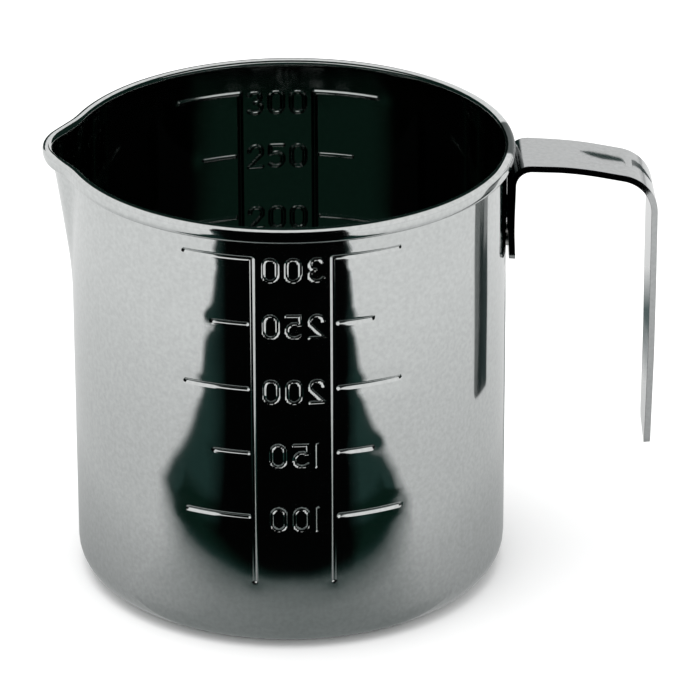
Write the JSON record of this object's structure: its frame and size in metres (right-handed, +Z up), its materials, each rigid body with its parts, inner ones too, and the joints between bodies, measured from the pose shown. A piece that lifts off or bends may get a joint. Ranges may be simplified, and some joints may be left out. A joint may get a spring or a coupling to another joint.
{
  "type": "melting pot",
  "caption": "Small steel melting and measuring pot with a rolled rim, a pouring lip, pressed volume scales and an open hooked strap handle.",
  "frame": {"origin": "centre of the underside of the base", "axes": "+Z up along the cup's axis, +X towards the strap handle, the pouring lip points to -X"},
  "size_m": [0.1046, 0.0772, 0.0781],
  "materials": {
    "body_steel": "polished stainless steel sheet",
    "handle_steel": "satin stainless steel strap",
    "weld_steel": "fused stainless steel"
  },
  "bodies": {
    "root": {"pot_body": "body_steel", "handle": "handle_steel", "spot_welds": "weld_steel"}
  },
  "joints": []
}
